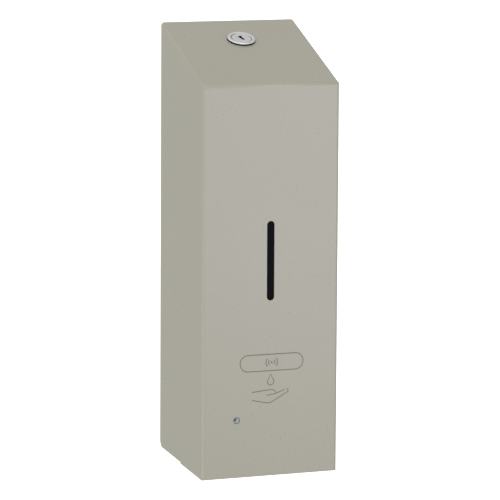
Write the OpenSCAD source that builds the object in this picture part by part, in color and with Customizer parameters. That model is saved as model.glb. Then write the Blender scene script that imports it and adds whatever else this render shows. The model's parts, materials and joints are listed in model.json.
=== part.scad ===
// Wall mounted soap dispenser: a folded steel cover, hinged at its lower rear corners and held
// by a cam lock, over a wall plate that carries a moulded chassis with the tank, the gear pump,
// the sensor electronics and the batteries.
// Frame: X to the right, the wall at y = 0, the front towards -Y, z = 0 at the cover's lower edge.

/* [Cover] */
// Width over the side panels
body_w = 108; // [107:0.5:112]
// Height of the cover at the wall
back_h = 335.8; // [334:0.2:338]
// Height of the front panel
front_h = 298.3; // [297:0.1:300]
// Depth of the cover at its lower edge
base_d = 109.2; // [109:0.1:112]
// Depth of the cover at the front panel's upper edge
top_d = 105.1; // [105:0.1:108]
// Thickness of the sheet steel
sheet = 1; // [0.8:0.1:1]
// Outer radius of the long vertical bends
side_bend_r = 2.2; // [1.5:0.1:3]
// Outer radius of the bend between the front and the sloped top
top_bend_r = 3.5; // [2:0.1:5]

/* [Front features] */
// Width of the level slot
slot_w = 5.9; // [4:0.1:8]
// Overall height of the level slot
slot_h = 60.4; // [40:0.1:70]
// Height of the level slot's centre
slot_z = 165.3; // [150:0.1:180]
// Diameter of the status light's lens
lens_d = 5; // [3:0.1:5]
// Sideways place of the status light
lens_x = -26.5; // [-28:0.5:-24]
// Height of the status light
lens_z = 44.5; // [40:0.5:50]

/* [Lock] */
// Distance of the lock's axis from the wall, where it meets the sloped top
lock_y = 33; // [32:0.5:36]
// Diameter of the lock's rim
rim_d = 22; // [21:0.5:24]
// Diameter of the lock's threaded barrel
barrel_d = 19; // [18:0.5:19]
// Diameter of the turning plug
plug_d = 15.9; // [14:0.1:15.9]

/* [Wall plate] */
// Sideways distance between the wall screw holes
screw_span_x = 76; // [70:1:78]
// Height of the lower wall screw holes
screw_low_z = 112; // [111:1:114]
// Height of the upper wall screw holes
screw_high_z = 312; // [308:1:314]
// Diameter of the wall screw holes
screw_hole_d = 5.5; // [4:0.5:6]

/* [Tank] */
// Height of the tank's closed top
tank_top_z = 252; // [240:1:253]
// Wall thickness of the tank
tank_t = 1.6; // [1.2:0.1:2]

/* [Pump gears] */
// Teeth on each pump gear
teeth = 12; // [12:2:16]
// Thickness of the pump gears
gear_h = 8; // [6:1:9]

/* [Hidden] */
$fn = 64;
eps = 0.01;
run = 0.07;               // radial clearance of a running fit
lean = atan((base_d - top_d) / front_h);
slope = atan((back_h - front_h) / top_d);
half_w = body_w / 2;
inner_x = half_w - sheet; // inner face of a side panel

wall_gap = 0.5;           // the cover's rear edges clear the wall by this
rear_lift = 1.1;          // the rear half of each side ends this much higher
step_y = -54.5;           // where each side's lower edge steps
hem_w = 8;                // width of the folded lower hem
corner_r = 5.8;           // rear lower corner, centred on the hinge
hinge_y = -wall_gap - corner_r;
hinge_z = rear_lift + corner_r;
pin_r = 2.5;
pin_x0 = 47.8;            // inner end of a hinge pin
slope_edge_r = 2.5;       // bends along the sloped top's sides

plate_t = 1.5;
plate_x = 51.5;
plate_top_z = 329;
flange_d = 12;
plate_in_x = plate_x - plate_t;

chassis_x = 48;
chassis_t = 2;
chassis_z0 = 10;
shelf_z = 98;
shelf_t = 3;
chassis_back_y = -4;
chassis_front_y = -96;
panel_t = 2;              // thickness of the chassis's front panel
panel_y = chassis_front_y - panel_t;
boss_zs = [60, 190];      // heights of the screws that hold the chassis
boss_y = -8.5;

outlet_y = -19;           // the tank's outlet, its socket and the inlet hose
pump_y = -53;
pump_z0 = 22;
module_mm = 1;
gear_pitch_r = module_mm * teeth / 2;
gear_z0 = 26;
gear_x = [-gear_pitch_r, gear_pitch_r];
motor_x = gear_x[0];
gear_tip_r = gear_pitch_r + 0.85;
gear_root_r = gear_pitch_r - 1.25;
shaft_r = 1.5;
pump_top_z = gear_z0 + gear_h + 0.3;
cover_z = pump_top_z + 0.5;
motor_z0 = cover_z + 5;   // the motor stands on the pump cover's boss, clear of its screws
port_z = gear_z0 + gear_h / 2;
motor_r = 13.8;
motor_h = 31;
nozzle_y = -86;
nozzle_r = 5;

cell_r = 7.1;
cell_pitch = 15;
cell_x = [for (i = [0:3]) 14.25 + (i - 1.5) * cell_pitch];
cell_y = -84.6;
cell_h = 48.5;
tray_x = [-17, 45.5];
tray_y = [-93.5, -75.5];
tray_z = [41, 97.5];
tray_t = 1.2;
contact_t = 0.4;
// even cells stand on a spring, odd cells hang nub down with the spring above them
cell_z = [for (i = [0 : 3]) i % 2 == 0 ? tray_z[1] - tray_t - contact_t - 0.1 - cell_h
    : tray_z[0] + tray_t + contact_t + 0.1];
door_x = [-15, 43.5];
door_z = [45, 95];

board_x = [-45, -18.5];
board_y = -84;
board_z = [15, 92];
board_t = 1.6;
switch_x = -32;
switch_z = 80;
eye_x = [-36.5, -13.5];    // opening in the floor for the sensor's window
eye_y = [-94, -78];

tank_x = 45;
tank_back_y = -8;
tank_front_y = -98;
tank_z0 = 103;
tank_relief = [27, 22, 24];
mouth_x = 36;
mouth_y = [-92, -46];
mouth_h = 5;
lid_t = 2;
lid_hinge_y = -40.4;
lid_hinge_z = tank_top_z + mouth_h + 2.2;

// ---------- shared shapes ----------

// Where the line through p along d meets the line through q along e
function meet(p, d, q, e) = p + d * cross(q - p, e) / cross(d, e);
function unit(v) = v / norm(v);

// Outline with round corners, each given as [x, y, radius]; only outward corners may be round
module rounded_outline(corners) {
    n = len(corners);
    function at(i) = [corners[(i + n) % n][0], corners[(i + n) % n][1]];
    function r(i) = corners[i][2];
    function back(i) = unit(at(i - 1) - at(i));
    function ahead(i) = unit(at(i + 1) - at(i));
    function half(i) = acos(back(i) * ahead(i)) / 2;
    polygon([for (i = [0 : n - 1]) each r(i) > 0
        ? [at(i) + back(i) * r(i) / tan(half(i)), at(i) + ahead(i) * r(i) / tan(half(i))]
        : [at(i)]]);
    for (i = [0 : n - 1]) if (r(i) > 0)
        translate(at(i) + unit(back(i) + ahead(i)) * r(i) / sin(half(i))) circle(r(i));
}

// A block from corner a to corner b whose upright edges have radius r
module round_block(a, b, r) {
    translate([0, 0, a[2]]) linear_extrude(b[2] - a[2])
        rounded_outline([[a[0], a[1], r], [b[0], a[1], r], [b[0], b[1], r], [a[0], b[1], r]]);
}

module block(a, b) translate(a) cube(b - a);

// A profile drawn as (y, z) and extruded from x0 to x1
module along_x(x0, x1) translate([x0, 0, 0]) rotate([90, 0, 90]) linear_extrude(x1 - x0) children();

// A rod along X from x0 to x1
module rod_x(x0, x1, r, y, z) translate([x0, y, z]) rotate([0, 90, 0]) cylinder(h = x1 - x0, r = r);

// A rod along Y from y0 back to y1
module rod_y(y0, y1, r, x, z) translate([x, y1, z]) rotate([90, 0, 0]) cylinder(h = y1 - y0, r = r);

// A tube standing on z = z0
module tube(z0, z1, r_out, r_in) translate([0, 0, z0]) difference() {
    cylinder(h = z1 - z0, r = r_out);
    translate([0, 0, -1]) cylinder(h = z1 - z0 + 2, r = r_in);
}

// Children moved into the lock's frame: +Z out of the sloped top, +Y up the slope
module on_slope() translate([0, -lock_y, back_h - lock_y * tan(slope)])
    rotate([slope, 0, 0]) children();

// The same place as a (y, z) point
function slope_point(v, w) = [-lock_y + v * cos(slope) - w * sin(slope),
    back_h - lock_y * tan(slope) + v * sin(slope) + w * cos(slope)];

// A pan head machine screw pointing down -Z with its head on z = 0
module screw(r, length, head_r, head_h) {
    difference() {
        cylinder(h = head_h, r = head_r);
        for (a = [0, 90]) rotate(a) translate([-head_r * 0.6, -0.4, head_h - 0.9])
            cube([head_r * 1.2, 0.8, 1]);
    }
    translate([0, 0, -length]) cylinder(h = length + eps, r = r);
}

// A round wire of radius r swept through the points p
module wire(p, r, sides = 8) {
    n = len(p);
    function dir(i) = unit(p[min(i + 1, n - 1)] - p[max(i - 1, 0)]);
    function side(d) = unit(cross(d, abs(d[2]) > 0.9 ? [1, 0, 0] : [0, 0, 1]));
    rings = [for (i = [0 : n - 1]) let (d = dir(i), u = side(d), v = cross(d, u))
        for (k = [0 : sides - 1]) p[i] + r * (cos(k * 360 / sides) * u + sin(k * 360 / sides) * v)];
    walls = [for (i = [0 : n - 2], k = [0 : sides - 1]) let (a = i * sides + k,
        b = i * sides + (k + 1) % sides) [a, a + sides, b + sides, b]];
    ends = [[for (k = [0 : sides - 1]) k], [for (k = [sides - 1 : -1 : 0]) (n - 1) * sides + k]];
    polyhedron(rings, concat(walls, ends), 10);
}

// ---------- cover ----------

front_dir = [sin(lean), cos(lean)];
slope_dir = [-cos(slope), -sin(slope)];
function front_at(inset) = [-base_d, 0] + inset * [cos(lean), -sin(lean)];
function slope_at(inset) = [0, back_h] + inset * [sin(slope), -cos(slope)];
function front_foot(inset, z) = meet(front_at(inset), front_dir, [0, z], [1, 0]);
function front_head(inset) = meet(front_at(inset), front_dir, slope_at(inset), slope_dir);
function rear_head(inset, y) = meet(slope_at(inset), slope_dir, [y, 0], [0, 1]);

// The cover seen from its side, as (y, z)
module cover_side() {
    foot = front_foot(0, 0);
    head = front_head(0);
    rear = rear_head(0, -wall_gap);
    rounded_outline([[foot[0], 0, 1], [step_y, 0, 0], [step_y, rear_lift, 0],
        [-wall_gap, rear_lift, corner_r], [rear[0], rear[1], 0], [head[0], head[1], top_bend_r]]);
}

// The space inside the sheet, seen from its side
module cover_side_inside() {
    foot = front_foot(sheet, sheet);
    head = front_head(sheet);
    rear = rear_head(sheet, 5);
    rounded_outline([[foot[0], sheet, 0], [step_y, sheet, 0], [step_y, -5, 0], [5, -5, 0],
        [rear[0], rear[1], 0], [head[0], head[1], top_bend_r - sheet]]);
}

// Everything between the side panels whose front bends have the given radius
module bend_front(inset, r) translate([0, -base_d, 0]) rotate([-lean, 0, 0])
    translate([0, 0, -20]) linear_extrude(back_h + 40) rounded_outline([
        [-half_w + inset, inset, r], [half_w - inset, inset, r],
        [half_w - inset, base_d + 30, 0], [-half_w + inset, base_d + 30, 0]]);

// Everything under the sloped top whose side bends have the given radius
module bend_slope(inset, r) translate([0, 0, back_h]) rotate([slope, 0, 0])
    translate([0, 60, 0]) rotate([90, 0, 0]) linear_extrude(300) rounded_outline([
        [-half_w + inset, -500, 0], [half_w - inset, -500, 0],
        [half_w - inset, -inset, r], [-half_w + inset, -inset, r]]);

module level_slot(w, h) linear_extrude(40, center = true) {
    square([w, h - w], center = true);
    for (s = [-1, 1]) translate([0, s * (h - w) / 2]) circle(w / 2);
}

module front_cover() {
    color([0.66, 0.65, 0.6]) difference() {
        intersection() {
            along_x(-half_w - 5, half_w + 5) cover_side();
            bend_front(0, side_bend_r);
            bend_slope(0, slope_edge_r);
        }
        intersection() {
            along_x(-half_w - 5, half_w + 5) cover_side_inside();
            bend_front(sheet, side_bend_r - sheet);
            bend_slope(sheet, slope_edge_r - sheet);
        }
        block([-inner_x + hem_w, -base_d + sheet + hem_w, -5], [inner_x - hem_w, step_y + 5, 5]);
        translate([0, -base_d, slot_z]) rotate([90, 0, 0]) level_slot(slot_w, slot_h);
        rod_y(-base_d - 5, -base_d + 10, lens_d / 2 + 0.1, lens_x, lens_z);
        on_slope() translate([0, 0, -10]) cylinder(h = 20, r = barrel_d / 2 + 0.1);
    }
}

// Clear panel bonded behind the level slot
module level_window() {
    margin = 5;
    color([0.08, 0.08, 0.08]) translate([0, -base_d, 0]) rotate([-lean, 0, 0])
        translate([0, sheet + 1.5, slot_z]) rotate([90, 0, 0]) linear_extrude(1.5)
            rounded_outline([for (c = [[-1, -1], [1, -1], [1, 1], [-1, 1]])
                [c[0] * (slot_w / 2 + margin), c[1] * (slot_h / 2 + margin), 3]]);
}

// Clear light pipe with a domed lens at the front and a collar behind the panel
module status_light_pipe() {
    face_y = -base_d + lens_z * tan(lean);
    color([0.75, 0.8, 0.85]) translate([lens_x, face_y, lens_z]) rotate([-90, 0, 0]) {
        translate([0, 0, -0.4]) cylinder(h = 10, r = lens_d / 2);
        translate([0, 0, sheet + 0.1]) cylinder(h = 1.5, r = lens_d / 2 + 1.5);
    }
}

// ---------- hinge ----------

module hinge_pins() color("silver") for (s = [0, 1]) mirror([s, 0, 0]) difference() {
    rod_x(pin_x0, inner_x, pin_r, hinge_y, hinge_z);
    difference() {
        rod_x(pin_x0 + 0.6, pin_x0 + 1.4, pin_r + 1, hinge_y, hinge_z);
        rod_x(pin_x0, pin_x0 + 2, pin_r - 0.5, hinge_y, hinge_z);
    }
}

// Spring clips snapped into the pins' grooves
module pin_clips() color("dimgray") for (s = [0, 1]) mirror([s, 0, 0]) difference() {
    rod_x(pin_x0 + 0.65, pin_x0 + 1.35, 4.4, hinge_y, hinge_z);
    rod_x(pin_x0, pin_x0 + 2, pin_r - 0.5, hinge_y, hinge_z);
    block([pin_x0, hinge_y, hinge_z - 1.4], [pin_x0 + 2, hinge_y + 6, hinge_z + 1.4]);
}

module hinge_washers() color("white") for (s = [0, 1]) mirror([s, 0, 0]) difference() {
    rod_x(plate_x, inner_x - 0.1, 5, hinge_y, hinge_z);
    rod_x(plate_x - 1, inner_x + 1, pin_r + run, hinge_y, hinge_z);
}

// ---------- lock ----------

barrel_h = 20;
rim_h = 1.9;
rim_chamfer = 0.7;
keyway = [2.2, 6.6];      // width and length of the slot for the key's blade
keyway_depth = 12;
keyway_turn = 26;         // turn of the keyway in the stored, unlocked pose
ward = [1.1, 2.4];        // width and length of the step beside one end of the keyway
cam_z = -barrel_h - 2.4;
cam_t = 2;
cam_len = 21;
cam_half = 6;
drive_half = 3.5;

module lock_barrel() color("silver") on_slope() difference() {
    union() {
        rotate_extrude() polygon([[0, 0], [rim_d / 2, 0], [rim_d / 2, rim_h - rim_chamfer],
            [rim_d / 2 - rim_chamfer, rim_h], [0, rim_h]]);
        translate([0, 0, -barrel_h]) cylinder(h = barrel_h + eps, r = barrel_d / 2);
    }
    translate([0, 0, -barrel_h - 1]) cylinder(h = barrel_h + 10, r = plug_d / 2 + run);
}

module lock_nut() color("silver") on_slope() translate([0, 0, -sheet - 3.6]) difference() {
    cylinder(h = 3.5, r = 13.5, $fn = 6);
    translate([0, 0, -1]) cylinder(h = 6, r = barrel_d / 2 + 0.05);
}

// Turning plug with its keyway, a square drive and a tapped hole below
module lock_plug() color("gainsboro") on_slope() difference() {
    union() {
        translate([0, 0, -barrel_h - 0.3]) cylinder(h = barrel_h + rim_h, r = plug_d / 2);
        translate([-drive_half, -drive_half, cam_z - 0.05])
            cube([2 * drive_half, 2 * drive_half, 3]);
    }
    rotate(keyway_turn) translate([0, 0, -keyway_depth]) {
        translate([-keyway[0] / 2, -keyway[1] / 2, 0]) cube([keyway[0], keyway[1], 20]);
        translate([keyway[0] / 2 - eps, keyway[1] / 2 - ward[1], 0]) cube([ward[0], ward[1], 20]);
    }
    translate([0, 0, cam_z - 1]) cylinder(h = 8, r = 1.9);
}

module lock_cam() color("silver") on_slope() difference() {
    translate([0, 0, cam_z]) linear_extrude(cam_t) {
        circle(cam_half + 1.5);
        translate([-cam_half, 0]) square([2 * cam_half, cam_len - cam_half]);
        translate([0, cam_len - cam_half]) circle(cam_half);
    }
    translate([-drive_half, -drive_half, cam_z - 1]) cube([2 * drive_half, 2 * drive_half, 5]);
}

module cam_screw() color("silver") on_slope() translate([0, 0, cam_z - 0.1])
    rotate([180, 0, 0]) screw(1.85, 6, 5, 2.2);

// ---------- wall plate ----------

screw_places = [for (s = [-1, 1], z = [screw_low_z, screw_high_z]) [s * screw_span_x / 2, z]];

module wall_plate() {
    ear_r = 5.5;
    color("lightgray") difference() {
        union() {
            difference() {
                round_plate = [[-plate_x, 0, 3], [plate_x, 0, 3], [plate_x, plate_top_z, 5],
                    [-plate_x, plate_top_z, 5]];
                rotate([90, 0, 0]) linear_extrude(plate_t) rounded_outline(round_plate);
                for (p = screw_places) rod_y(-10, 10, screw_hole_d / 2, p[0], p[1]);
            }
            for (s = [0, 1]) mirror([s, 0, 0]) along_x(plate_in_x, plate_x)
                rounded_outline([[-flange_d, hinge_z - ear_r, ear_r], [-eps, hinge_z - ear_r, 0],
                    [-eps, 300, 0], [-flange_d, 288, 6]]);
        }
        rod_x(-60, 60, pin_r + run, hinge_y, hinge_z);
        for (z = boss_zs, s = [0, 1]) mirror([s, 0, 0]) rod_x(45, 60, 1.7, boss_y, z);
    }
}

// Angled hook spot-welded to the plate; its lip stands in front of the locked cam
module latch_bracket() {
    t = 1.5;
    face = -plate_t;
    lip = -cam_half - 3.5;
    low = cam_z - 5.5;
    up_slope = [cos(slope), sin(slope)];
    color("lightgray") along_x(12, 28) polygon([
        slope_point(lip, cam_z + 8), slope_point(lip, low),
        meet(slope_point(lip, low), up_slope, [face, 0], [0, 1]), [face, 322], [face - t, 322],
        meet(slope_point(lip, low + t), up_slope, [face - t, 0], [0, 1]),
        slope_point(lip + t, low + t), slope_point(lip + t, cam_z + 8)]);
}

// ---------- chassis ----------

module chassis() {
    x = chassis_x;
    color("whitesmoke") difference() {
        union() {
            difference() {
                block([-x, chassis_front_y, chassis_z0], [x, -plate_t, shelf_z + shelf_t]);
                block([-x + chassis_t, chassis_front_y - 1, chassis_z0 + chassis_t],
                    [x - chassis_t, chassis_back_y, shelf_z]);
            }
            block([-x, chassis_back_y, shelf_z], [x, -plate_t, 288]);
            for (s = [0, 1]) mirror([s, 0, 0]) {
                block([x - 1.5, -40, shelf_z], [x, -plate_t, 200]);
                for (z = boss_zs) rod_x(x - 1.5, plate_in_x, 4, boss_y, z);
            }
            // bars that the tank stands on
            for (y = [-90, -60]) block([-40, y, shelf_z + shelf_t - eps], [40, y + 4, tank_z0 - 0.05]);
            // ribs that carry the shelf
            for (s = [-1, 1]) block([s * 28 - 1, -30, 84], [s * 28 + 1, chassis_back_y, shelf_z + eps]);
            // tapped lugs behind the front panel
            for (p = panel_screw_places) rod_y(chassis_front_y, chassis_front_y + 9, 3.5, p[0], p[1]);
        }
        // screw windows, the socket's seat, and the ports in the floor
        for (s = [-1, 1]) block([s * screw_span_x / 2 - 7, -10, screw_low_z - 9],
            [s * screw_span_x / 2 + 7, 1, screw_low_z + 10]);
        translate([0, outlet_y, shelf_z - 1]) cylinder(h = 10, r = 10.2);
        block([eye_x[0], eye_y[0], chassis_z0 - 1], [eye_x[1], eye_y[1], chassis_z0 + 5]);
        translate([0, nozzle_y, 0]) cylinder(h = 20, r = nozzle_r + 0.1);
        for (p = panel_screw_places) rod_y(chassis_front_y - 1, chassis_front_y + 8, 1.3, p[0], p[1]);
        for (z = boss_zs, s = [0, 1]) mirror([s, 0, 0]) rod_x(x - 6, x + 5, 1.45, boss_y, z);
    }
}

panel_screw_places = [[-42, 14.5], [42.2, 14.5], [-42, 95], [-23, 95]];

// Flat panel that closes the chassis, with openings for the door, the switch and the lamp
module chassis_panel() color("white") difference() {
    block([-chassis_x, panel_y, chassis_z0], [chassis_x, chassis_front_y, shelf_z + shelf_t]);
    block([door_x[0], panel_y - 1, door_z[0]], [door_x[1], chassis_front_y + 1, door_z[1]]);
    rod_y(panel_y - 1, chassis_front_y + 1, 2.8, lens_x, lens_z);
    block([switch_x - 2.3, panel_y - 1, switch_z - 4.8],
        [switch_x + 2.3, chassis_front_y + 1, switch_z + 4.8]);
    for (p = panel_screw_places) rod_y(panel_y - 1, chassis_front_y + 1, 1.7, p[0], p[1]);
    rod_y(panel_y - 1, chassis_front_y + 1, 1.3, door_screw_at[0], door_screw_at[1]);
}

module panel_screws() color("silver") for (p = panel_screw_places)
    translate([p[0], panel_y, p[1]]) rotate([90, 0, 0]) screw(1.3, 8, 2.8, 1.8);

// Flat head screws through the plate's flanges into the chassis
module chassis_screws() color("silver") for (z = boss_zs, s = [0, 1]) mirror([s, 0, 0])
    translate([plate_x, boss_y, z]) rotate([0, 90, 0]) screw(1.45, 6, 3.2, 1.0);

// ---------- tank ----------

tank_color = [0.92, 0.93, 0.92, 0.6];
tank_rim_z = tank_top_z - tank_t;
tank_seam_z = tank_z0 + tank_relief[2] + 2.4;   // weld seam between the base and the wall
tank_corner_r = 8;
mouth_corner_r = 6;
spigot_r = 7;
outlet_r = 5;
ear_x = 17;               // sideways place of the ears that hold the lid's pin
ear_t = 3;
ear_r = 3;
lid_pin_r = 1.25;

// The base's shape up to z = top, with its walls moved in by inset
module bin(inset, top) {
    difference() {
        round_block([-tank_x + inset, tank_front_y + inset, tank_z0 + inset],
            [tank_x - inset, tank_back_y - inset, top], tank_corner_r - inset);
        for (s = [0, 1]) mirror([s, 0, 0])
            block([tank_relief[0] - inset, tank_back_y - tank_relief[1] - inset, 0],
                [100, 10, tank_z0 + tank_relief[2] + inset]);
    }
}

// Moulded base, cut away over the chassis' rear corners, with a spigot below its outlet
module tank_base() color(tank_color) difference() {
    union() {
        bin(0, tank_seam_z);
        translate([0, outlet_y, shelf_z - 3]) cylinder(h = 10, r = spigot_r);
    }
    bin(tank_t, tank_seam_z + 5);
    translate([0, outlet_y, shelf_z - 6]) cylinder(h = 20, r = outlet_r);
}

// Straight wall welded between the base and the top
module tank() color(tank_color) difference() {
    round_block([-tank_x, tank_front_y, tank_seam_z], [tank_x, tank_back_y, tank_rim_z],
        tank_corner_r);
    round_block([-tank_x + tank_t, tank_front_y + tank_t, tank_seam_z - 5],
        [tank_x - tank_t, tank_back_y - tank_t, tank_rim_z + 5], tank_corner_r - tank_t);
}

// Top welded onto the wall, with the filler mouth and the lid's ears
module tank_top() color(tank_color) difference() {
    union() {
        round_block([-tank_x, tank_front_y, tank_rim_z], [tank_x, tank_back_y, tank_top_z],
            tank_corner_r);
        round_block([-mouth_x, mouth_y[0], tank_top_z - 1],
            [mouth_x, mouth_y[1], tank_top_z + mouth_h], mouth_corner_r);
        for (s = [-1, 1]) translate([s * ear_x - ear_t / 2, 0, 0])
            along_x(0, ear_t) rounded_outline([[lid_hinge_y - ear_r, tank_top_z - 1, 0],
                [lid_hinge_y + ear_r, tank_top_z - 1, 0],
                [lid_hinge_y + ear_r, lid_hinge_z + ear_r, ear_r - 0.1],
                [lid_hinge_y - ear_r, lid_hinge_z + ear_r, ear_r - 0.1]]);
    }
    round_block([-mouth_x + tank_t, mouth_y[0] + tank_t, tank_top_z - 5],
        [mouth_x - tank_t, mouth_y[1] - tank_t, tank_top_z + mouth_h + 1], mouth_corner_r - tank_t);
    rod_x(-30, 30, lid_pin_r, lid_hinge_y, lid_hinge_z);
}

module tank_lid() {
    z0 = tank_top_z + mouth_h + 0.6;
    knuckle_x = 13;
    color([0.2, 0.22, 0.24]) difference() {
        union() {
            difference() {
                round_block([-mouth_x - 2.5, mouth_y[0] - 2.5, tank_top_z + 2],
                    [mouth_x + 2.5, mouth_y[1] + 2, z0 + lid_t], 8);
                round_block([-mouth_x - 0.9, mouth_y[0] - 0.9, tank_top_z],
                    [mouth_x + 0.9, mouth_y[1] + 12, z0], 6.5);
            }
            // finger tab
            round_block([-12, mouth_y[0] - 5, z0], [12, mouth_y[0] + 4, z0 + lid_t], 2);
            rod_x(-knuckle_x, knuckle_x, 2.2, lid_hinge_y, lid_hinge_z);
            block([-knuckle_x, mouth_y[1], z0 + 0.2], [knuckle_x, lid_hinge_y, z0 + lid_t]);
        }
        rod_x(-30, 30, lid_pin_r + run, lid_hinge_y, lid_hinge_z);
    }
}

// Flat seal between the mouth's rim and the lid
module lid_gasket() color([0.85, 0.85, 0.8]) difference() {
    z0 = tank_top_z + mouth_h + 0.05;
    margin = 0.1;
    ring_w = 3;
    round_block([-mouth_x + margin, mouth_y[0] + margin, z0],
        [mouth_x - margin, mouth_y[1] - margin, z0 + 0.55], mouth_corner_r - margin);
    round_block([-mouth_x + ring_w, mouth_y[0] + ring_w, z0 - 1],
        [mouth_x - ring_w, mouth_y[1] - ring_w, z0 + 3], mouth_corner_r - ring_w);
}

module lid_pin() color("silver")
    rod_x(-ear_x - ear_t / 2, ear_x + ear_t / 2, lid_pin_r, lid_hinge_y, lid_hinge_z);

// ---------- liquid path ----------

hose_r = 4.6;
hose_bore_r = 3.25;
barb_r = 3.2;             // the barbs that the hoses are pushed onto
barb_bore_r = 1.8;
socket_r = 10;
ring_place = [8, shelf_z - 1.5];   // radius and height of the ring that seals the spigot

// Cup on the shelf that takes the tank's spigot, with a barb for the hose below
module tank_socket() color("white") translate([0, outlet_y, 0]) difference() {
    union() {
        translate([0, 0, shelf_z - 12]) cylinder(h = 14.9, r = socket_r);
        translate([0, 0, shelf_z + shelf_t]) cylinder(h = 1.6, r = socket_r + 3);
        translate([0, 0, shelf_z]) cylinder(h = shelf_t + 1, r = socket_r);
        translate([0, 0, shelf_z - 21]) cylinder(h = 10, r = barb_r);
    }
    translate([0, 0, shelf_z - 6]) cylinder(h = 20, r = spigot_r + run);
    translate([0, 0, ring_place[1]]) rotate_extrude() translate([ring_place[0] - 0.1, 0])
        circle(1.15);
    translate([0, 0, shelf_z - 30]) cylinder(h = 40, r = barb_bore_r);
}

module socket_ring() color([0.1, 0.1, 0.1]) translate([0, outlet_y, ring_place[1]])
    rotate_extrude() translate([ring_place[0] + 0.05, 0]) circle(0.9);

// Elastic hose from the socket down and round into the pump's rear port
module inlet_hose() {
    bend = 12;
    rear = pump_ys[1];
    top = shelf_z - 12.2;
    color([0.85, 0.88, 0.88, 0.7]) difference() {
        union() {
            translate([0, outlet_y, port_z + bend])
                cylinder(h = top - port_z - bend, r = hose_r);
            translate([0, outlet_y - bend, port_z + bend]) rotate([0, 90, 0])
                rotate_extrude(angle = 90) translate([bend, 0]) circle(hose_r);
            rod_y(rear + 0.3, outlet_y - bend, hose_r, 0, port_z);
        }
        translate([0, outlet_y, port_z + bend]) cylinder(h = 100, r = hose_bore_r);
        translate([0, outlet_y - bend, port_z + bend]) rotate([0, 90, 0])
            rotate_extrude(angle = 90) translate([bend, 0]) circle(hose_bore_r);
        rod_y(rear - 1, outlet_y - bend, hose_bore_r, 0, port_z);
    }
}

module outlet_hose() color([0.85, 0.88, 0.88, 0.7]) difference() {
    rod_y(nozzle_y + 5.2, pump_ys[0] - 0.3, hose_r, 0, port_z);
    rod_y(nozzle_y, pump_y, hose_bore_r, 0, port_z);
}

// Elbow that hangs through the floor, with the outlet at its tip
module nozzle() color([0.15, 0.15, 0.16]) difference() {
    bore_r = 1.6;
    union() {
        translate([0, nozzle_y, 3]) cylinder(h = 32, r = nozzle_r);
        translate([0, nozzle_y, 2]) cylinder(h = 3, r = nozzle_r - 1.5);
        translate([0, nozzle_y, chassis_z0 + chassis_t]) cylinder(h = 1.5, r = nozzle_r + 2);
        rod_y(nozzle_y, nozzle_y + 9.5, barb_r, 0, port_z);
    }
    translate([0, nozzle_y, 1]) cylinder(h = port_z - 1, r = bore_r);
    rod_y(nozzle_y, nozzle_y + 14, bore_r, 0, port_z);
}

// ---------- pump ----------

pump_x = [-17, 17];
pump_ys = [pump_y - 13, pump_y + 13];
pump_screw_places = [for (s = [-1, 1], t = [-1, 1]) [s * 14, pump_y + t * 10]];
pump_screw_hole_r = 1.5;
pump_cover_t = 3;
chamber_r = gear_tip_r + 0.12;

module pump_outline(z0, z1) round_block([pump_x[0], pump_ys[0], z0], [pump_x[1], pump_ys[1], z1], 3);

module pump_body() color([0.25, 0.26, 0.28]) difference() {
    union() {
        pump_outline(pump_z0, pump_top_z);
        // hose barbs, one in front and one behind
        for (s = [0, 1]) translate([0, pump_y, 0]) mirror([0, s, 0])
            rod_y(11, 21, barb_r, 0, port_z);
        // feet that stand on the chassis floor
        for (p = pump_screw_places) translate([p[0], p[1], chassis_z0 + chassis_t])
            cylinder(h = pump_z0 - chassis_z0 - chassis_t + 1, r = 2.8);
    }
    for (x = gear_x) translate([x, pump_y, gear_z0]) cylinder(h = 20, r = chamber_r);
    for (x = gear_x) translate([x, pump_y, pump_z0 + 1.5]) cylinder(h = 20, r = shaft_r + run);
    rod_y(pump_y - 30, pump_y - 3, barb_bore_r, 0, port_z);
    rod_y(pump_y + 3, pump_y + 30, barb_bore_r, 0, port_z);
    for (p = pump_screw_places) translate([p[0], p[1], pump_top_z - 8]) cylinder(h = 20, r = 1.2);
}

module pump_gasket() color([0.6, 0.2, 0.15]) difference() {
    pump_outline(pump_top_z, cover_z);
    for (x = gear_x) translate([x, pump_y, 0]) cylinder(h = 100, r = chamber_r + 0.3);
    for (p = pump_screw_places) translate([p[0], p[1], 0])
        cylinder(h = 100, r = pump_screw_hole_r);
}

module pump_cover() color([0.3, 0.31, 0.33]) difference() {
    union() {
        pump_outline(cover_z, cover_z + pump_cover_t);
        translate([motor_x, pump_y, cover_z + 2]) cylinder(h = motor_z0 - cover_z - 2, r = 10.5);
    }
    translate([motor_x, pump_y, 0]) cylinder(h = 100, r = shaft_r + run);
    translate([gear_x[1], pump_y, 0]) cylinder(h = cover_z + 2, r = shaft_r + run);
    for (p = pump_screw_places) translate([p[0], p[1], 0])
        cylinder(h = 100, r = pump_screw_hole_r);
}

module pump_screws() color("silver") for (p = pump_screw_places)
    translate([p[0], p[1], cover_z + pump_cover_t]) screw(1.2, 8, 2.2, 1.6);

// Involute spur gear outline with its first tooth along +X
module gear_outline() {
    pressure = 20;
    base_r = gear_pitch_r * cos(pressure);
    play = 0.8;
    function involute(a) = (tan(a) - a * PI / 180) * 180 / PI;
    function half_tooth(r) = 90 / teeth + involute(pressure) - involute(acos(base_r / r)) - play;
    function point(r, a) = r * [cos(a), sin(a)];
    steps = 5;
    radii = [for (k = [0 : steps]) base_r + (gear_tip_r - base_r) * k / steps];
    polygon([for (i = [0 : teeth - 1]) let (c = i * 360 / teeth) each concat(
        [point(gear_root_r, c - half_tooth(base_r))],
        [for (k = [0 : steps]) point(radii[k], c - half_tooth(radii[k]))],
        [for (k = [steps : -1 : 0]) point(radii[k], c + half_tooth(radii[k]))],
        [point(gear_root_r, c + half_tooth(base_r))])]);
}

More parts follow.
